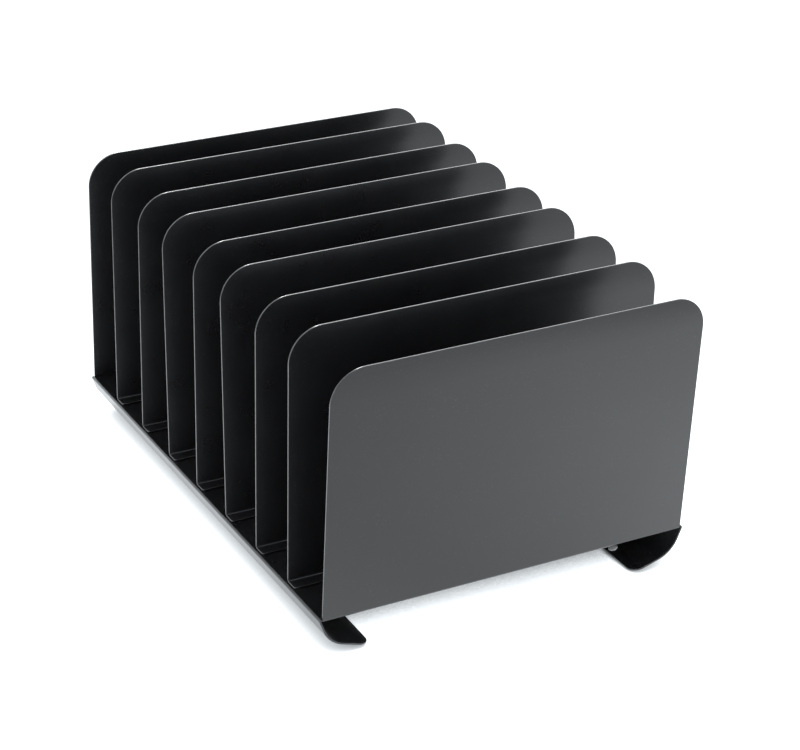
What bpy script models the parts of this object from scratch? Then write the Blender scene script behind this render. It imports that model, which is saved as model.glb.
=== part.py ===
"""Desktop file sorter in enamelled sheet steel.

A tray bent from one sheet carries nine upright panels of one pattern: a front
panel, a back panel and seven dividers, which make eight sections. Each panel
is an L of sheet whose flange is spot-welded to the tray. The tray's long sides
curl down and inward and are the runners that it stands on, over four soft
bumpers.

Metres, +Z up, +Y towards the back. The origin is the centre of the footprint,
at desk level.
"""
import math

import bmesh
import bpy
from mathutils import Matrix, Vector

# Driving dimensions.
OVERALL_HEIGHT = 0.2093
TRAY_WIDTH = 0.2784          # to the sharp corners of its folds, which are then rounded
END_TO_END = 0.3810          # between the outer faces of the front and back panels, at their feet
SHEET = 0.0012
JOINT_GAP = 0.0003           # left between two sheets that are welded together

# Panels. The dividers' leans are degrees backward, from the front divider to the rear one.
PANEL_WIDTH = 0.2730
PANEL_CORNER = 0.0235        # radius of the two top corners
FLANGE_REACH = 0.0108        # from a panel's far face to its flange's edge
FLANGE_CORNER = 0.0020
BEND_RADIUS = 0.0018         # to the middle of the sheet
SECTION_PITCH = 0.047625
FIRST_DIVIDER = 0.0494       # outer face of the front panel to the first divider's front face
DIVIDER_LEANS = (0.9, 0.9, 2.9, 1.1, 2.5, 0.4, 0.7)
FRONT_LEAN = 1.8             # degrees forward

# Runners: the tray's curled sides.
RUNNER_LEAN = math.radians(21)          # inward from the vertical, below the tray's edge
RUNNER_STRAIGHT = 0.0102
RUNNER_RADIUS = 0.0220                   # outer face of the curl
RUNNER_SLOPE = math.radians(17)          # of the last flat, down to the inner edge
RUNNER_INNER_EDGE = 0.1008               # from the middle of the tray
RUNNER_CORNER = 0.0090
TRAY_EDGE_BEND = 0.0010                  # from a fold's sharp corner to where its bend starts
STAND_OFF = 0.0008                       # between a runner's lowest edge and the desk

# Notches in the tray's ends, where the front and back panels pass through.
NOTCH_DEPTH = 0.0022         # a sheet and the inside of its bend
NOTCH_SIDE_GAP = 0.0004

# Bumpers, pushed through holes near the runners' ends.
BUMPER_FROM_CENTRE = 0.1053
BUMPER_FROM_END = 0.0320
FRONT_LEFT_FROM_END = 0.0410         # the front left bumper sits further in than the other three
HOLE_RADIUS = 0.0023
NECK_RADIUS = 0.0020
HEAD_RADIUS = 0.0033
HEAD_RIM = 0.0003
HEAD_HEIGHT = 0.0011
PAD_RADIUS = 0.0036
PAD_DEPTH = 0.0040           # before it is trimmed level with the desk

# Finishes: colour, roughness, metallic.
TRAY_ENAMEL = ((0.012, 0.012, 0.013), 0.28, 0.0)
PANEL_ENAMEL = ((0.014, 0.014, 0.015), 0.25, 0.0)
GREY_VINYL = ((0.22, 0.22, 0.22), 0.55, 0.0)

# Flats in each round stretch.
BEND_STEPS = 4
FOLD_STEPS = 2
CORNER_STEPS = 8
FLANGE_CORNER_STEPS = 3
CURL_STEPS = 8
RUNNER_CORNER_STEPS = 5
DOME_STEPS = 4
TURN_STEPS = 20
HOLE_STEPS = 24
MERGE_DISTANCE = 0.00001

# Derived places.
CURL_CENTRE_X = (TRAY_WIDTH / 2 - RUNNER_STRAIGHT * math.sin(RUNNER_LEAN)
                 - RUNNER_RADIUS * math.cos(RUNNER_LEAN))
CURL_CENTRE_DROP = RUNNER_STRAIGHT * math.cos(RUNNER_LEAN) - RUNNER_RADIUS * math.sin(RUNNER_LEAN)
CURL_END_X = CURL_CENTRE_X + RUNNER_RADIUS * math.sin(RUNNER_SLOPE)
CURL_END_DROP = CURL_CENTRE_DROP + RUNNER_RADIUS * math.cos(RUNNER_SLOPE)
RUNNER_DROP = CURL_END_DROP + (CURL_END_X - RUNNER_INNER_EDGE) * math.tan(RUNNER_SLOPE)
TRAY_TOP = STAND_OFF + RUNNER_DROP
PANEL_HEIGHT = OVERALL_HEIGHT - TRAY_TOP - JOINT_GAP
END_PANEL_FOOT = TRAY_TOP - 2 * SHEET - JOINT_GAP
FRONT_OVERHANG = PANEL_HEIGHT * math.sin(math.radians(FRONT_LEAN))
FRONT_Y = (FRONT_OVERHANG - END_TO_END) / 2
BACK_Y = FRONT_Y + END_TO_END


def clear_scene():
    for thing in list(bpy.data.objects):
        bpy.data.objects.remove(thing)


def new_collection(name):
    collection = bpy.data.collections.new(name)
    bpy.context.scene.collection.children.link(collection)
    return collection


def make_material(name, colour, roughness, metallic):
    material = bpy.data.materials.new(name)
    material.use_nodes = True
    shader = material.node_tree.nodes["Principled BSDF"]
    shader.inputs["Base Color"].default_value = (*colour, 1.0)
    shader.inputs["Roughness"].default_value = roughness
    shader.inputs["Metallic"].default_value = metallic
    return material


def object_from_bmesh(name, bm, collection, finish=None):
    """A new object; with a finish it gets a material of its own, which has the object's name."""
    mesh = bpy.data.meshes.new(name)
    bm.to_mesh(mesh)
    bm.free()
    thing = bpy.data.objects.new(name, mesh)
    if finish:
        mesh.materials.append(make_material(name, *finish))
    collection.objects.link(thing)
    return thing


def arc(centre, radius, start, end, steps):
    """Points in a plane along an arc, end points included; angles in radians."""
    return [
        (centre[0] + radius * math.cos(start + (end - start) * i / steps),
         centre[1] + radius * math.sin(start + (end - start) * i / steps))
        for i in range(steps + 1)
    ]


def strip_from_profile(points, sweep):
    """An open strip: the profile's points joined by edges and swept once along a vector."""
    bm = bmesh.new()
    row = [bm.verts.new(point) for point in points]
    edges = [bm.edges.new(pair) for pair in zip(row, row[1:])]
    swept = bmesh.ops.extrude_edge_only(bm, edges=edges)
    moved = [item for item in swept["geom"] if isinstance(item, bmesh.types.BMVert)]
    bmesh.ops.translate(bm, verts=moved, vec=sweep)
    return bm


def round_corners(bm, chosen, radius, steps):
    bmesh.ops.bevel(bm, geom=chosen, offset=radius, offset_type='OFFSET', segments=steps,
                    profile=0.5, affect='VERTICES', clamp_overlap=True)


def give_thickness(thing, thickness):
    solidify = thing.modifiers.new("Sheet", 'SOLIDIFY')
    solidify.thickness = thickness
    solidify.offset = 0.0
    solidify.use_even_offset = True


def panel_profile(lean):
    """Middle line of a panel in (y, z): flange towards -Y at the foot, then the bend, then the upright."""
    mid = SHEET / 2
    centre = (-BEND_RADIUS, mid + BEND_RADIUS)
    bend = arc(centre, BEND_RADIUS, -math.pi / 2, -lean, BEND_STEPS)
    rise = PANEL_HEIGHT - bend[-1][1]
    top = (bend[-1][0] + rise * math.tan(lean), PANEL_HEIGHT)
    return [(mid - FLANGE_REACH, mid)] + bend + [top]


def make_panel(name, middle_y, foot_z, lean_degrees, collection, flange_back=False):
    """An L-shaped panel that leans away from its flange; middle_y is its sheet's middle above the bend."""
    side = -1 if flange_back else 1
    profile = panel_profile(math.radians(lean_degrees))
    points = [(-PANEL_WIDTH / 2, side * y, z) for y, z in profile]
    bm = strip_from_profile(points, (PANEL_WIDTH, 0, 0))
    top = [v for v in bm.verts if v.co.z > PANEL_HEIGHT - SHEET]
    round_corners(bm, top, PANEL_CORNER, CORNER_STEPS)
    edge_y = SHEET / 2 - FLANGE_REACH
    lip = [v for v in bm.verts if abs(side * v.co.y - edge_y) < SHEET / 4]
    round_corners(bm, lip, FLANGE_CORNER, FLANGE_CORNER_STEPS)
    bmesh.ops.recalc_face_normals(bm, faces=bm.faces)
    thing = object_from_bmesh(name, bm, collection, PANEL_ENAMEL)
    thing.location = (0, middle_y, foot_z)
    give_thickness(thing, SHEET)
    return thing


def tray_profile():
    """Middle line of the tray in (x, z) on the +X side, from the middle of the top to the runner's edge."""
    mid = SHEET / 2
    fold = (TRAY_WIDTH / 2 - mid * (1 / math.cos(RUNNER_LEAN) + math.tan(RUNNER_LEAN)), TRAY_TOP - mid)
    centre = (CURL_CENTRE_X, TRAY_TOP - CURL_CENTRE_DROP)
    curl = arc(centre, RUNNER_RADIUS - mid, -RUNNER_LEAN, RUNNER_SLOPE - math.pi / 2, CURL_STEPS)
    end_x, end_z = curl[-1]
    edge = (RUNNER_INNER_EDGE, end_z - (end_x - RUNNER_INNER_EDGE) * math.tan(RUNNER_SLOPE))
    return [(0, fold[1]), fold] + curl + [edge]


def make_tray(collection):
    half = tray_profile()
    profile = [(-x, z) for x, z in reversed(half[1:])] + half
    points = [(x, FRONT_Y, z) for x, z in profile]
    bm = strip_from_profile(points, (0, END_TO_END, 0))
    inner = [v for v in bm.verts if abs(abs(v.co.x) - RUNNER_INNER_EDGE) < SHEET / 4]
    round_corners(bm, inner, RUNNER_CORNER, RUNNER_CORNER_STEPS)
    fold_x, fold_z = half[1]
    at_fold = {v for v in bm.verts
               if abs(abs(v.co.x) - fold_x) < SHEET / 4 and abs(v.co.z - fold_z) < SHEET / 4}
    folds = [e for e in bm.edges if at_fold.issuperset(e.verts)]
    bmesh.ops.bevel(bm, geom=folds, offset=TRAY_EDGE_BEND, offset_type='OFFSET', segments=FOLD_STEPS,
                    profile=0.5, affect='EDGES', clamp_overlap=True)
    bmesh.ops.recalc_face_normals(bm, faces=bm.faces)
    tray = object_from_bmesh("base_tray", bm, collection, TRAY_ENAMEL)
    give_thickness(tray, SHEET)
    return tray


def bumper_places():
    """Each bumper's name, its place on the runner's middle surface, and its tilt about Y."""
    mid_edge_z = TRAY_TOP - RUNNER_DROP + SHEET / 2 / math.cos(RUNNER_SLOPE)
    z = mid_edge_z + (BUMPER_FROM_CENTRE - RUNNER_INNER_EDGE) * math.tan(RUNNER_SLOPE)
    places = []
    for name, sign, y in (("front_left", -1, FRONT_Y + FRONT_LEFT_FROM_END),
                          ("front_right", 1, FRONT_Y + BUMPER_FROM_END),
                          ("rear_left", -1, BACK_Y - BUMPER_FROM_END),
                          ("rear_right", 1, BACK_Y - BUMPER_FROM_END)):
        place = Vector((sign * BUMPER_FROM_CENTRE, y, z))
        places.append((f"bumper_{name}", place, -sign * RUNNER_SLOPE))
    return places


def new_box(width, depth, height):
    bm = bmesh.new()
    bmesh.ops.create_cube(bm, size=1.0, matrix=Matrix.Diagonal((width, depth, height, 1)))
    return bm


def make_cutter(name, bm, matrix, collection):
    cutter = object_from_bmesh(name, bm, collection)
    cutter.matrix_world = matrix
    cutter.hide_render = True
    cutter.display_type = 'WIRE'
    return cutter


def cut(thing, cutter):
    boolean = thing.modifiers.new(cutter.name, 'BOOLEAN')
    boolean.operation = 'DIFFERENCE'
    boolean.solver = 'EXACT'
    boolean.object = cutter


def make_bumper(name, matrix, collection):
    """A turned plug on its own Z axis: pad below the sheet, neck through it, domed head above it."""
    above = SHEET / 2 + JOINT_GAP
    dome = [(HEAD_RADIUS * x, above + HEAD_RIM + (HEAD_HEIGHT - HEAD_RIM) * z)
            for x, z in arc((0, 0), 1, 0, math.pi / 2, DOME_STEPS)]
    profile = dome[::-1] + [(HEAD_RADIUS, above), (NECK_RADIUS, above), (NECK_RADIUS, -above),
                            (PAD_RADIUS, -above), (PAD_RADIUS, -above - PAD_DEPTH), (0, -above - PAD_DEPTH)]
    bm = bmesh.new()
    row = [bm.verts.new((x, 0, z)) for x, z in profile]
    for pair in zip(row, row[1:]):
        bm.edges.new(pair)
    bumper = object_from_bmesh(name, bm, collection, GREY_VINYL)
    bumper.matrix_world = matrix
    screw = bumper.modifiers.new("Turn", 'SCREW')
    screw.steps = TURN_STEPS
    screw.render_steps = TURN_STEPS
    screw.use_merge_vertices = True
    screw.merge_threshold = MERGE_DISTANCE
    screw.use_smooth_shade = True
    return bumper


def make_panels(collection):
    make_panel("front_panel", FRONT_Y + SHEET / 2, END_PANEL_FOOT, FRONT_LEAN, collection, flange_back=True)
    make_panel("back_panel", BACK_Y - SHEET / 2, END_PANEL_FOOT, 0.0, collection)
    for i, lean in enumerate(DIVIDER_LEANS):
        face_y = FRONT_Y + FIRST_DIVIDER + i * SECTION_PITCH
        make_panel(f"divider_{i + 1}", face_y + SHEET / 2, TRAY_TOP + JOINT_GAP, lean, collection)


def cut_notches(tray, collection):
    """The tray's ends are cut back between the runners, for the front and back panels to pass."""
    width = PANEL_WIDTH + 2 * NOTCH_SIDE_GAP
    for end, y in (("front", FRONT_Y), ("back", BACK_Y)):
        box = new_box(width, 2 * NOTCH_DEPTH, 4 * SHEET)
        cut(tray, make_cutter(f"{end}_notch", box, Matrix.Translation((0, y, TRAY_TOP)), collection))


def fit_bumpers(tray, collection, cutter_collection):
    """Drills the tray's bumper holes, puts a bumper in each and trims the bumpers level with the desk."""
    desk = make_cutter("desk_level", new_box(1, 1, 1), Matrix.Translation((0, 0, -0.5)), cutter_collection)
    for name, place, tilt in bumper_places():
        matrix = Matrix.Translation(place) @ Matrix.Rotation(tilt, 4, 'Y')
        drill = bmesh.new()
        bmesh.ops.create_cone(drill, cap_ends=True, segments=HOLE_STEPS, radius1=HOLE_RADIUS,
                              radius2=HOLE_RADIUS, depth=4 * SHEET)
        cut(tray, make_cutter(f"hole_for_{name}", drill, matrix, cutter_collection))
        cut(make_bumper(name, matrix, collection), desk)


def main():
    clear_scene()
    parts = new_collection("desktop_file_sorter")
    cutters = new_collection("cutters")
    tray = make_tray(parts)
    make_panels(parts)
    cut_notches(tray, cutters)
    fit_bumpers(tray, parts, cutters)


main()
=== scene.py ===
"""Looks for the desktop file sorter: black baked enamel on bent sheet steel, and grey vinyl bumpers.

Every piece of the CAD model is made again at the same size. The sheets get true bends, rounded corners
and softened sheared edges, in enamel that has orange peel, dust, and edges lightened partly as wear
and partly as a painted highlight. The bumpers are turned plugs in mottled vinyl. Metres, +Z up.
"""
import math

import bmesh
import bpy
from mathutils import Matrix, Vector


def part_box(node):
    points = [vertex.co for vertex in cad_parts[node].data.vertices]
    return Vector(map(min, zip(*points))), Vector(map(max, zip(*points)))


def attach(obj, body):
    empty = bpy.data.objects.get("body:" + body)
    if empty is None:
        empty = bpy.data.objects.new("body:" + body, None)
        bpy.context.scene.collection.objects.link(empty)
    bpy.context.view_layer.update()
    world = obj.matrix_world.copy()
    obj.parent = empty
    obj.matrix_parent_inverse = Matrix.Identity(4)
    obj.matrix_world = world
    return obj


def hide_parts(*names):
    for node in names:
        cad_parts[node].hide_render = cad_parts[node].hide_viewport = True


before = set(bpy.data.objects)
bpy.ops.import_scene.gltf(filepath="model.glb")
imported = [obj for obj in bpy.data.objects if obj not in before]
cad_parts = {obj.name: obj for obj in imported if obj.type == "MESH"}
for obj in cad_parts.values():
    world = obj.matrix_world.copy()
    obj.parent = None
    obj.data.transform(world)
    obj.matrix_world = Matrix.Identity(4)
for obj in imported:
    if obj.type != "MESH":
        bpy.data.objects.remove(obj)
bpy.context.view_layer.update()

# Sheet metal and bumpers, as in the CAD model.
SHEET = 0.0012
JOINT_GAP = 0.0003
DIVIDERS = 7
PANEL_CORNER = 0.0235
FLANGE_REACH = 0.0108
FLANGE_CORNER = 0.0020
BEND_RADIUS = 0.0018
RUNNER_LEAN = math.radians(21)
RUNNER_STRAIGHT = 0.0102
RUNNER_RADIUS = 0.0220
RUNNER_SLOPE = math.radians(17)
RUNNER_INNER_EDGE = 0.1008
RUNNER_CORNER = 0.0090
TRAY_WIDTH = 0.2784
NOTCH_DEPTH = 0.0022
NOTCH_SIDE_GAP = 0.0004
BUMPER_FROM_CENTRE = 0.1053
HOLE_RADIUS = 0.0023
NECK_RADIUS = 0.0020
HEAD_RADIUS = 0.0033
HEAD_RIM = 0.0003
HEAD_HEIGHT = 0.0011
PAD_RADIUS = 0.0036
PAD_DEPTH = 0.0040

# Softening that the CAD model leaves out, or has in a coarser form.
EDGE_ROUND = 0.00022                   # how far a sheared edge's rounding reaches on each side
SHEARED_ANGLE = math.radians(50)       # an edge sharper than this is a sheared one
FOLD_SETBACK = 0.00115                 # from the sharp corner of the tray's fold to where its arc starts
PAD_ROUND = 0.0004

# Flats in each round stretch.
EDGE_STEPS = 3
BEND_STEPS = 6
FOLD_STEPS = 6
CORNER_STEPS = 24
LIP_STEPS = 6
CURL_STEPS = 24
TURN_STEPS = 48
DOME_STEPS = 10

# Working values.
LEAN_ROUNDS = 8                        # rounds in which a panel's lean settles
DRILL_LENGTH = 8 * SHEET
MERGE_DISTANCE = 0.000001
SMOOTH_ANGLE = math.radians(35)
EDGE_MARK = "rounded_edge"

# Enamel. A scale is a noise pattern's, and a bump is its height in metres and its strength.
MIDDLE_OF_NOISE = (0.3, 0.7)           # where most of a noise pattern's values lie
PATTERN_SHIFT = (1.0, 0.37, 0.61)
TRAY_SHIFT = 5.0
FILM_SCALE = 14.0
FILM_DARK = (0.0024, 0.0024, 0.0027)
FILM_PALE = (0.0038, 0.0038, 0.0042)
DUST_SCALE = 900.0
DUST_RANGE = (0.66, 0.76)
DUST_COLOUR = (0.06, 0.06, 0.06)
TRAY_DUST = 0.9
PANEL_DUST = 0.25
# Lighter rounded edges, in patches: partly edge wear, partly a painted highlight.
EDGE_WEAR_AND_HIGHLIGHT_SCALE = 160.0
EDGE_WEAR_AND_HIGHLIGHT_RANGE = (0.45, 0.65)
EDGE_WEAR_AND_HIGHLIGHT_COLOUR = (0.06, 0.06, 0.062)
GLOSS_SCALE = 45.0
GLOSS_ROUGHNESS = (0.27, 0.31)
ENAMEL_IOR = 1.5
PEEL_SCALE = 620.0
PEEL_BUMP = (0.00002, 0.22)
GRAIN_SCALE = 2600.0
GRAIN_BUMP = (0.000006, 0.4)

# Vinyl.
VINYL_CLOUD_SCALE = 350.0
VINYL_DARK = (0.34, 0.34, 0.34)
VINYL_PALE = (0.42, 0.42, 0.41)
VINYL_DULL_SCALE = 900.0
VINYL_ROUGHNESS = (0.45, 0.62)
VINYL_GRAIN_SCALE = 3000.0
VINYL_BUMP = (0.00002, 0.4)

# Studio.
CAMERA_PLACE = (-0.73570, -1.34172, 0.85399)
CAMERA_AZIMUTH = math.radians(-29.37)
CAMERA_ELEVATION = math.radians(26.55)
CAMERA_ROLL = math.radians(1.90)
CAMERA_LENS = 109.0
CAMERA_SENSOR = 36.0
CAMERA_CLIP = (0.05, 50.0)
FLOOR_SIZE = 12.0
FLOOR_DROP = 0.0002
ROOM_LIGHT = 2.0
ROOM_TINT = (0.955, 1.0, 1.035)
# The floor glows with painted light: its pools and its shadows are painted into the glow, not cast by lamps.
FLOOR_LIGHT = 1.4
POOLS = (((0.22, -0.33), 0.60, 0.85),  # brighter pools on the floor: middle, radius, extra light
         ((-0.40, 0.10), 0.50, 2.2))
SHADOW_REACH = 0.25                    # the wide soft shadow, in steps from openness to light
SHADOW_STEPS = ((0.0, 0.0), (0.08, 0.14), (0.13, 0.42), (0.20, 0.62), (0.40, 0.80), (1.0, 1.0))
CONTACT_REACH = 0.022                  # the narrow dark shadow where the object meets the floor
CONTACT_RANGE = (0.30, 0.85)
CONTACT_DEPTH = 0.40
RIM_DISTANCE = 2.5
RIM_LIGHTS = (                         # for the glint on the upper edges: name, direction, size, power
    ("rim_light", (0.435, 0.783, 0.445), 1.2, 15.0),
    ("arc_light", (0.20, 0.785, 0.585), 0.3, 22.0),
)


# ---------------------------------------------------------------- materials

def new_material(name):
    material = bpy.data.materials.new(name)
    material.use_nodes = True
    return material, material.node_tree


def object_place(tree):
    """The point's place in metres, from its object's origin."""
    return tree.nodes.new("ShaderNodeTexCoord").outputs["Object"]


def noise(tree, place, scale, detail=2.0, roughness=0.5):
    node = tree.nodes.new("ShaderNodeTexNoise")
    node.inputs["Scale"].default_value = scale
    node.inputs["Detail"].default_value = detail
    node.inputs["Roughness"].default_value = roughness
    tree.links.new(place, node.inputs["Vector"])
    return node.outputs["Fac"]


def ramp(tree, value, before, after):
    """Maps the range before onto the range after, clamped."""
    node = tree.nodes.new("ShaderNodeMapRange")
    for name, limit in zip(("From Min", "From Max", "To Min", "To Max"), before + after):
        node.inputs[name].default_value = limit
    tree.links.new(value, node.inputs["Value"])
    return node.outputs["Result"]


def combine(tree, operation, first, second):
    node = tree.nodes.new("ShaderNodeMath")
    node.operation = operation
    tree.links.new(first, node.inputs[0])
    tree.links.new(second, node.inputs[1])
    return node.outputs["Value"]


def mix_colour(tree, factor, first, second):
    """Goes from first to second, each of them a colour or another node's output."""
    node = tree.nodes.new("ShaderNodeMix")
    node.data_type = 'RGBA'
    tree.links.new(factor, node.inputs["Factor"])
    for socket, colour in ((node.inputs["A"], first), (node.inputs["B"], second)):
        if isinstance(colour, tuple):
            socket.default_value = (*colour, 1.0)
        else:
            tree.links.new(colour, socket)
    return node.outputs["Result"]


def bump(tree, height, distance, strength, under=None):
    node = tree.nodes.new("ShaderNodeBump")
    node.inputs["Distance"].default_value = distance
    node.inputs["Strength"].default_value = strength
    tree.links.new(height, node.inputs["Height"])
    if under:
        tree.links.new(under, node.inputs["Normal"])
    return node.outputs["Normal"]


def enamel_material(name, shift, dust_strength):
    """Black baked enamel; shift moves the pattern, so that no two panels carry the same one."""
    material, tree = new_material(name)
    shader = tree.nodes["Principled BSDF"]
    moved = tree.nodes.new("ShaderNodeMapping")
    moved.inputs["Location"].default_value = [shift * step for step in PATTERN_SHIFT]
    tree.links.new(object_place(tree), moved.inputs["Vector"])
    place = moved.outputs["Vector"]

    film = ramp(tree, noise(tree, place, FILM_SCALE, detail=3.0), MIDDLE_OF_NOISE, (0.0, 1.0))
    colour = mix_colour(tree, film, FILM_DARK, FILM_PALE)

    specks = ramp(tree, noise(tree, place, DUST_SCALE, detail=1.0), DUST_RANGE, (0.0, dust_strength))
    colour = mix_colour(tree, specks, colour, DUST_COLOUR)

    # Rounded edges are lightened in patches: partly real edge wear, partly a painted highlight standing in
    # for the glint on sheared edges.
    rounded = tree.nodes.new("ShaderNodeAttribute")
    rounded.attribute_name = EDGE_MARK
    patches = ramp(tree, noise(tree, place, EDGE_WEAR_AND_HIGHLIGHT_SCALE, detail=4.0, roughness=0.6), EDGE_WEAR_AND_HIGHLIGHT_RANGE, (0.0, 1.0))
    wear_and_highlight = combine(tree, 'MULTIPLY', rounded.outputs["Fac"], patches)
    colour = mix_colour(tree, wear_and_highlight, colour, EDGE_WEAR_AND_HIGHLIGHT_COLOUR)
    tree.links.new(colour, shader.inputs["Base Color"])

    gloss = ramp(tree, noise(tree, place, GLOSS_SCALE, detail=4.0), MIDDLE_OF_NOISE, GLOSS_ROUGHNESS)
    tree.links.new(gloss, shader.inputs["Roughness"])
    shader.inputs["Metallic"].default_value = 0.0
    shader.inputs["IOR"].default_value = ENAMEL_IOR

    peel = bump(tree, noise(tree, place, PEEL_SCALE, detail=2.0), *PEEL_BUMP)
    grain = bump(tree, noise(tree, place, GRAIN_SCALE, detail=1.0), *GRAIN_BUMP, peel)
    tree.links.new(grain, shader.inputs["Normal"])
    return material


def vinyl_material():
    material, tree = new_material("grey_vinyl")
    shader = tree.nodes["Principled BSDF"]
    place = object_place(tree)
    cloud = ramp(tree, noise(tree, place, VINYL_CLOUD_SCALE, detail=3.0), MIDDLE_OF_NOISE, (0.0, 1.0))
    tree.links.new(mix_colour(tree, cloud, VINYL_DARK, VINYL_PALE), shader.inputs["Base Color"])
    dull = ramp(tree, noise(tree, place, VINYL_DULL_SCALE, detail=3.0), MIDDLE_OF_NOISE, VINYL_ROUGHNESS)
    tree.links.new(dull, shader.inputs["Roughness"])
    grain = bump(tree, noise(tree, place, VINYL_GRAIN_SCALE, detail=2.0), *VINYL_BUMP)
    tree.links.new(grain, shader.inputs["Normal"])
    return material


def openness(tree, reach):
    """How much of the space within reach above the floor is free, from 0 to 1."""
    node = tree.nodes.new("ShaderNodeAmbientOcclusion")
    node.inputs["Distance"].default_value = reach
    return node.outputs["AO"]


def pooled_light(tree):
    """The floor's own painted light, with the painted pools' extra light fading out towards their edges."""
    place = object_place(tree)
    light = tree.nodes.new("ShaderNodeValue").outputs["Value"]
    light.default_value = FLOOR_LIGHT
    for middle, radius, extra in POOLS:
        away = tree.nodes.new("ShaderNodeVectorMath")
        away.operation = 'DISTANCE'
        away.inputs[1].default_value = (*middle, 0.0)
        tree.links.new(place, away.inputs[0])
        pool = ramp(tree, away.outputs["Value"], (0.0, radius), (extra, 0.0))
        light = combine(tree, 'ADD', light, pool)
    return light


def stepped_curve(tree, value, steps):
    """A smooth curve through the steps, each of them a value and what it becomes."""
    node = tree.nodes.new("ShaderNodeFloatCurve")
    tree.links.new(value, node.inputs["Value"])
    curve = node.mapping.curves[0]
    for number, place in enumerate(steps):
        point = curve.points[number] if number < 2 else curve.points.new(*place)
        point.location = place
    node.mapping.update()
    return node.outputs["Value"]


def floor_material():
    """A glowing white floor with painted light: brighter in two painted pools, with painted shade close to
    the object, and clear from below.
    """
    material, tree = new_material("studio_floor")
    tree.nodes.clear()
    shadow = stepped_curve(tree, openness(tree, SHADOW_REACH), SHADOW_STEPS)
    contact = ramp(tree, openness(tree, CONTACT_REACH), CONTACT_RANGE, (CONTACT_DEPTH, 1.0))
    light = combine(tree, 'MULTIPLY', pooled_light(tree), shadow)
    glow = tree.nodes.new("ShaderNodeEmission")
    glow.inputs["Color"].default_value = (*ROOM_TINT, 1.0)
    tree.links.new(combine(tree, 'MULTIPLY', light, contact), glow.inputs["Strength"])
    clear = tree.nodes.new("ShaderNodeBsdfTransparent")
    side = tree.nodes.new("ShaderNodeNewGeometry")
    one_sided = tree.nodes.new("ShaderNodeMixShader")
    tree.links.new(side.outputs["Backfacing"], one_sided.inputs["Fac"])
    tree.links.new(glow.outputs["Emission"], one_sided.inputs[1])
    tree.links.new(clear.outputs["BSDF"], one_sided.inputs[2])
    output = tree.nodes.new("ShaderNodeOutputMaterial")
    tree.links.new(one_sided.outputs["Shader"], output.inputs["Surface"])
    return material


# ---------------------------------------------------------------- shapes

def arc(centre, radius, start, end, steps):
    """Points in a plane along an arc, end points included; angles in radians."""
    return [
        (centre[0] + radius * math.cos(start + (end - start) * i / steps),
         centre[1] + radius * math.sin(start + (end - start) * i / steps))
        for i in range(steps + 1)
    ]


def sweep_profile(points, stations):
    """An open sheet: one row of vertices for each station, a vector added to every profile point."""
    bm = bmesh.new()
    rows = [[bm.verts.new(Vector(point) + Vector(step)) for point in points] for step in stations]
    for row, following in zip(rows, rows[1:]):
        for i in range(len(points) - 1):
            bm.faces.new((row[i], row[i + 1], following[i + 1], following[i]))
    return bm


def round_corners(bm, chosen, radius, steps):
    bmesh.ops.bevel(bm, geom=chosen, offset=radius, offset_type='OFFSET', segments=steps,
                    profile=0.5, affect='VERTICES', clamp_overlap=True)


def in_fixed_order(bm):
    """The same mesh with its faces sorted by their points, because a spin makes them in any order."""
    bm.verts.index_update()
    rings = []
    for face in bm.faces:
        ring = [vert.index for vert in face.verts]
        start = ring.index(min(ring))
        rings.append(ring[start:] + ring[:start])
    ordered = bmesh.new()
    points = [ordered.verts.new(vert.co) for vert in bm.verts]
    for ring in sorted(rings):
        ordered.faces.new([points[i] for i in ring])
    bm.free()
    return ordered


def new_object(name, bm):
    mesh = bpy.data.meshes.new(name)
    bm.to_mesh(mesh)
    bm.free()
    thing = bpy.data.objects.new(name, mesh)
    bpy.context.scene.collection.objects.link(thing)
    return thing


def apply_modifiers(thing):
    evaluated = thing.evaluated_get(bpy.context.evaluated_depsgraph_get())
    finished = bpy.data.meshes.new_from_object(evaluated)
    thing.modifiers.clear()
    thing.data = finished


def thicken_sheet(thing):
    """Gives an open surface the sheet's thickness, then softens and marks its sheared edges."""
    solidify = thing.modifiers.new("Sheet", 'SOLIDIFY')
    solidify.thickness = SHEET
    solidify.offset = 0.0
    solidify.use_even_offset = True
    bevel = thing.modifiers.new("Sheared edges", 'BEVEL')
    bevel.width = EDGE_ROUND
    bevel.segments = EDGE_STEPS
    bevel.limit_method = 'ANGLE'
    bevel.angle_limit = SHEARED_ANGLE
    apply_modifiers(thing)
    mark_edges(thing.data)


def mark_edges(mesh):
    """Stores 1 on the middle of every rounded sheared edge and 0 elsewhere, for the enamel's edge wear and
    painted edge highlight.
    """
    widest = [0.0] * len(mesh.vertices)
    for face in mesh.polygons:
        width = face_width(mesh, face)
        for index in face.vertices:
            widest[index] = max(widest[index], width)
    mark = mesh.attributes.new(EDGE_MARK, 'FLOAT', 'POINT')
    for index, width in enumerate(widest):
        mark.data[index].value = 1.0 if width < EDGE_ROUND else 0.0


def face_width(mesh, face):
    """The length of a face's shortest side; for a face of more than four sides, the root of its area."""
    if len(face.vertices) > 4:
        return face.area ** 0.5
    corners = [mesh.vertices[i].co for i in face.vertices]
    return min((a - b).length for a, b in zip(corners, corners[1:] + corners[:1]))


def smooth(thing):
    thing.data.shade_smooth()
    thing.data.set_sharp_from_angle(angle=SMOOTH_ANGLE)


def finish_piece(thing, material, nodes):
    thing.data.materials.clear()
    thing.data.materials.append(material)
    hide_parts(*nodes)
    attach(thing, "root")


# ---------------------------------------------------------------- panels

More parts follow.
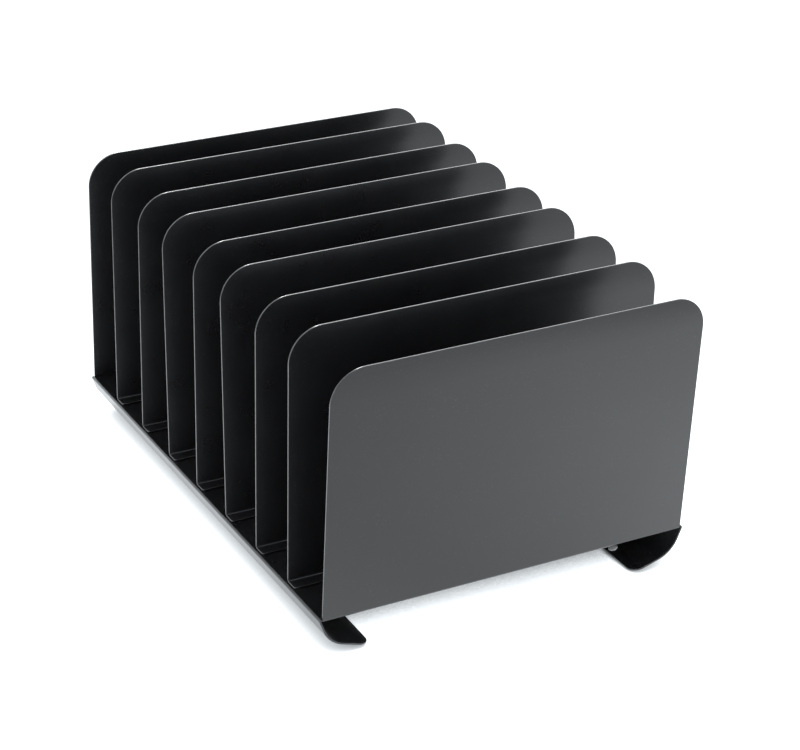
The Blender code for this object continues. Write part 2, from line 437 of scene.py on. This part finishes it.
def panel_profile(height, lean):
    """Middle line of a panel in (y, z): flange towards -Y at the foot, then the bend, then the upright."""
    mid = SHEET / 2
    centre = (-BEND_RADIUS, mid + BEND_RADIUS)
    bend = arc(centre, BEND_RADIUS, -math.pi / 2, -lean, BEND_STEPS)
    rise = height - bend[-1][1]
    return [(mid - FLANGE_REACH, mid)] + bend + [(bend[-1][0] + rise * math.tan(lean), height)]


def lean_from_depth(depth, height):
    """A panel's box is as deep as its flange's reach, plus what the upright's lean adds at the top."""
    lean = 0.0
    for _ in range(LEAN_ROUNDS):
        foot = BEND_RADIUS * (math.cos(lean) - 1) + SHEET / 2 / math.cos(lean) - SHEET / 2
        rise = height - SHEET / 2 - BEND_RADIUS * (1 - math.sin(lean))
        lean = math.atan(max(depth - FLANGE_REACH - foot, 0.0) / rise)
    return lean


def make_panel(name, node, flange_back, shift):
    """The L-shaped panel that fills a CAD panel's box; its lean follows from the box's depth."""
    low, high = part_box(node)
    height = high.z - low.z
    width = high.x - low.x
    depth = high.y - low.y
    side = -1 if flange_back else 1
    lean = lean_from_depth(depth, height)
    height -= SHEET / 2 * math.sin(lean)    # half the leaning top edge rises past its middle line
    edge_y = SHEET / 2 - FLANGE_REACH
    points = [(-width / 2, side * y, z) for y, z in panel_profile(height, lean)]
    bm = sweep_profile(points, ((0, 0, 0), (width, 0, 0)))
    round_corners(bm, [v for v in bm.verts if v.co.z > height - SHEET], PANEL_CORNER, CORNER_STEPS)
    lip = [v for v in bm.verts if abs(side * v.co.y - edge_y) < SHEET / 4]
    round_corners(bm, lip, FLANGE_CORNER, LIP_STEPS)
    bmesh.ops.recalc_face_normals(bm, faces=bm.faces)
    thing = new_object(name, bm)
    flange_edge = high.y if flange_back else low.y
    thing.location = (0, flange_edge - side * edge_y, low.z)
    thicken_sheet(thing)
    smooth(thing)
    finish_piece(thing, enamel_material(f"enamel_{name}", shift, PANEL_DUST), [node])


# ---------------------------------------------------------------- tray

def tray_profile(top, notch_x):
    """The tray's middle line on the +X side in (x, z), from notch to curl, and the runner's inner edge."""
    mid = SHEET / 2
    fold_x = TRAY_WIDTH / 2 - mid * (1 / math.cos(RUNNER_LEAN) + math.tan(RUNNER_LEAN))
    fold_radius = FOLD_SETBACK / math.tan((math.pi / 2 + RUNNER_LEAN) / 2)
    fold_centre = (fold_x - FOLD_SETBACK, top - mid - fold_radius)
    fold = arc(fold_centre, fold_radius, math.pi / 2, -RUNNER_LEAN, FOLD_STEPS)
    inward = math.sin(RUNNER_LEAN)
    down = math.cos(RUNNER_LEAN)
    centre = (TRAY_WIDTH / 2 - RUNNER_STRAIGHT * inward - RUNNER_RADIUS * down,
              top - RUNNER_STRAIGHT * down + RUNNER_RADIUS * inward)
    curl = arc(centre, RUNNER_RADIUS - mid, -RUNNER_LEAN, RUNNER_SLOPE - math.pi / 2, CURL_STEPS)
    end_x, end_z = curl[-1]
    edge = (RUNNER_INNER_EDGE, end_z - (end_x - RUNNER_INNER_EDGE) * math.tan(RUNNER_SLOPE))
    return [(notch_x, top - mid)] + fold + curl, edge


def runner_lip(start, edge, front, back):
    """Outline of the runner's last flat, from the curl's front end round both corners to its back end."""
    reach = math.hypot(start[0] - edge[0], start[1] - edge[1])
    inner = reach - RUNNER_CORNER
    front_corner = arc((inner, front + RUNNER_CORNER), RUNNER_CORNER, -math.pi / 2, 0, CORNER_STEPS)
    back_corner = arc((inner, back - RUNNER_CORNER), RUNNER_CORNER, 0, math.pi / 2, CORNER_STEPS)
    outline = [(0.0, front)] + front_corner + back_corner + [(0.0, back)]
    across = ((edge[0] - start[0]) / reach, (edge[1] - start[1]) / reach)
    return [(start[0] + across[0] * d, y, start[1] + across[1] * d) for d, y in outline]


def tray_surface(half, edge, front, back):
    """The tray's middle surface: both runners, and between them the top, which stops at the notches."""
    bm = bmesh.new()
    notch_x, top = half[0]
    notch_ends = {}
    for side in (-1, 1):
        rows = [[bm.verts.new((side * x, y, z)) for x, z in half] for y in (front, back)]
        inner = [bm.verts.new((side * notch_x, y, top)) for y in (front + NOTCH_DEPTH, back - NOTCH_DEPTH)]
        notch_ends[side] = inner
        bm.faces.new([rows[0][0], rows[0][1], rows[1][1], rows[1][0], inner[1], inner[0]])
        for i in range(1, len(half) - 1):
            bm.faces.new((rows[0][i], rows[0][i + 1], rows[1][i + 1], rows[1][i]))
        outline = runner_lip(half[-1], edge, front, back)[1:-1]
        lip = [bm.verts.new((side * x, y, z)) for x, y, z in outline]
        bm.faces.new([rows[0][-1]] + lip + [rows[1][-1]])
    bm.faces.new(notch_ends[-1] + notch_ends[1][::-1])
    bmesh.ops.recalc_face_normals(bm, faces=bm.faces)
    return bm


def make_tray(panel_width):
    """The tray with the bumpers' holes in it; gives back the bumpers' frames."""
    low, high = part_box("base_tray")
    half, edge = tray_profile(high.z, panel_width / 2 + NOTCH_SIDE_GAP)
    tray = new_object("tray", tray_surface(half, edge, low.y, high.y))
    thicken_sheet(tray)
    frames = bumper_frames(edge)
    drill_bumper_holes(tray, frames)
    smooth(tray)
    enamel = enamel_material("enamel_tray", TRAY_SHIFT, TRAY_DUST)
    finish_piece(tray, enamel, ["base_tray"])
    return frames


# ---------------------------------------------------------------- bumpers

def bumper_frames(edge):
    """Where each bumper's axis crosses the middle of the sheet, with its tilt, as a matrix by node."""
    z = edge[1] + (BUMPER_FROM_CENTRE - RUNNER_INNER_EDGE) * math.tan(RUNNER_SLOPE)
    frames = {}
    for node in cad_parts:
        if node.startswith("bumper"):
            low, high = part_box(node)
            middle = (low + high) / 2
            side = math.copysign(1.0, middle.x)
            place = Matrix.Translation((side * BUMPER_FROM_CENTRE, middle.y, z))
            frames[node] = place @ Matrix.Rotation(-side * RUNNER_SLOPE, 4, 'Y')
    return frames


def drill_bumper_holes(tray, frames):
    """Cuts the bumpers' holes square to the runners' last flats."""
    drills = []
    for matrix in frames.values():
        bm = bmesh.new()
        bmesh.ops.create_cone(bm, cap_ends=True, segments=TURN_STEPS, depth=DRILL_LENGTH,
                              radius1=HOLE_RADIUS, radius2=HOLE_RADIUS)
        drill = new_object("drill", bm)
        drill.matrix_world = matrix
        cut = tray.modifiers.new("hole", 'BOOLEAN')
        cut.operation = 'DIFFERENCE'
        cut.solver = 'EXACT'
        cut.object = drill
        drills.append(drill)
    apply_modifiers(tray)
    for drill in drills:
        bpy.data.objects.remove(drill)


def bumper_profile():
    """A bumper's outline in (radius, z), from the top of its dome to its pad; z is 0 in mid-sheet."""
    above = SHEET / 2 + JOINT_GAP
    dome = [(HEAD_RADIUS * x, above + HEAD_RIM + (HEAD_HEIGHT - HEAD_RIM) * z)
            for x, z in arc((0, 0), 1, math.pi / 2, 0, DOME_STEPS)]
    neck = [(HEAD_RADIUS, above), (NECK_RADIUS, above), (NECK_RADIUS, -above)]
    rim = arc((PAD_RADIUS - PAD_ROUND, -above - PAD_ROUND), PAD_ROUND, math.pi / 2, 0, LIP_STEPS)
    pad = [(PAD_RADIUS, -above - PAD_DEPTH), (0, -above - PAD_DEPTH)]
    return dome + neck + rim + pad


def make_bumper(node, matrix, material):
    """A turned vinyl plug, tilted with the runner's last flat, and trimmed level with the desk."""
    bm = bmesh.new()
    row = [bm.verts.new((x, 0, z)) for x, z in bumper_profile()]
    edges = [bm.edges.new(pair) for pair in zip(row, row[1:])]
    bmesh.ops.spin(bm, geom=row + edges, axis=(0, 0, 1), cent=(0, 0, 0), angle=2 * math.pi, steps=TURN_STEPS)
    bmesh.ops.remove_doubles(bm, verts=bm.verts, dist=MERGE_DISTANCE)
    bm.transform(matrix)
    whole = bm.verts[:] + bm.edges[:] + bm.faces[:]
    trimmed = bmesh.ops.bisect_plane(bm, geom=whole, plane_co=(0, 0, 0), plane_no=(0, 0, 1), clear_inner=True)
    rim_edges = [item for item in trimmed["geom_cut"] if isinstance(item, bmesh.types.BMEdge)]
    bmesh.ops.contextual_create(bm, geom=rim_edges)
    bmesh.ops.recalc_face_normals(bm, faces=bm.faces)
    thing = new_object(f"vinyl_{node}", in_fixed_order(bm))
    smooth(thing)
    finish_piece(thing, material, [node])


# ---------------------------------------------------------------- the object

def make_object():
    low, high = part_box("divider_1")
    bumpers = make_tray(high.x - low.x)
    make_panel("front_sheet", "front_panel", True, 0.0)
    for i in range(1, DIVIDERS + 1):
        make_panel(f"divider_sheet_{i}", f"divider_{i}", False, float(i))
    make_panel("back_sheet", "back_panel", False, DIVIDERS + 1.0)
    vinyl = vinyl_material()
    for node, matrix in bumpers.items():
        make_bumper(node, matrix, vinyl)


# ---------------------------------------------------------------- studio

def make_floor():
    bm = bmesh.new()
    bmesh.ops.create_grid(bm, x_segments=1, y_segments=1, size=FLOOR_SIZE / 2)
    floor = new_object("floor", bm)
    floor.location.z = -FLOOR_DROP
    floor.data.materials.append(floor_material())


def make_lights():
    world = bpy.data.worlds.new("white_room")
    bpy.context.scene.world = world
    world.use_nodes = True
    background = world.node_tree.nodes["Background"]
    background.inputs["Color"].default_value = (*ROOM_TINT, 1.0)
    background.inputs["Strength"].default_value = ROOM_LIGHT
    for name, direction, size, power in RIM_LIGHTS:
        lamp = bpy.data.lights.new(name, 'AREA')
        lamp.size = size
        lamp.energy = power
        light = bpy.data.objects.new(name, lamp)
        direction = Vector(direction).normalized()
        light.location = RIM_DISTANCE * direction
        light.rotation_euler = direction.to_track_quat('Z', 'Y').to_euler()
        bpy.context.scene.collection.objects.link(light)


def make_camera():
    azimuth, elevation, roll = CAMERA_AZIMUTH, CAMERA_ELEVATION, CAMERA_ROLL
    back = Vector((math.sin(azimuth) * math.cos(elevation), -math.cos(azimuth) * math.cos(elevation),
                   math.sin(elevation)))
    level = Vector((math.cos(azimuth), math.sin(azimuth), 0))
    upward = back.cross(level)
    right = math.cos(roll) * level + math.sin(roll) * upward
    upright = math.cos(roll) * upward - math.sin(roll) * level
    data = bpy.data.cameras.new("camera")
    data.sensor_fit = 'HORIZONTAL'
    data.sensor_width = CAMERA_SENSOR
    data.lens = CAMERA_LENS
    data.clip_start, data.clip_end = CAMERA_CLIP
    camera = bpy.data.objects.new("camera", data)
    turn = Matrix((right, upright, back)).transposed().to_4x4()
    camera.matrix_world = Matrix.Translation(CAMERA_PLACE) @ turn
    bpy.context.scene.collection.objects.link(camera)
    bpy.context.scene.camera = camera


make_object()
make_floor()
make_lights()
make_camera()
bpy.context.scene.view_settings.view_transform = 'Standard'
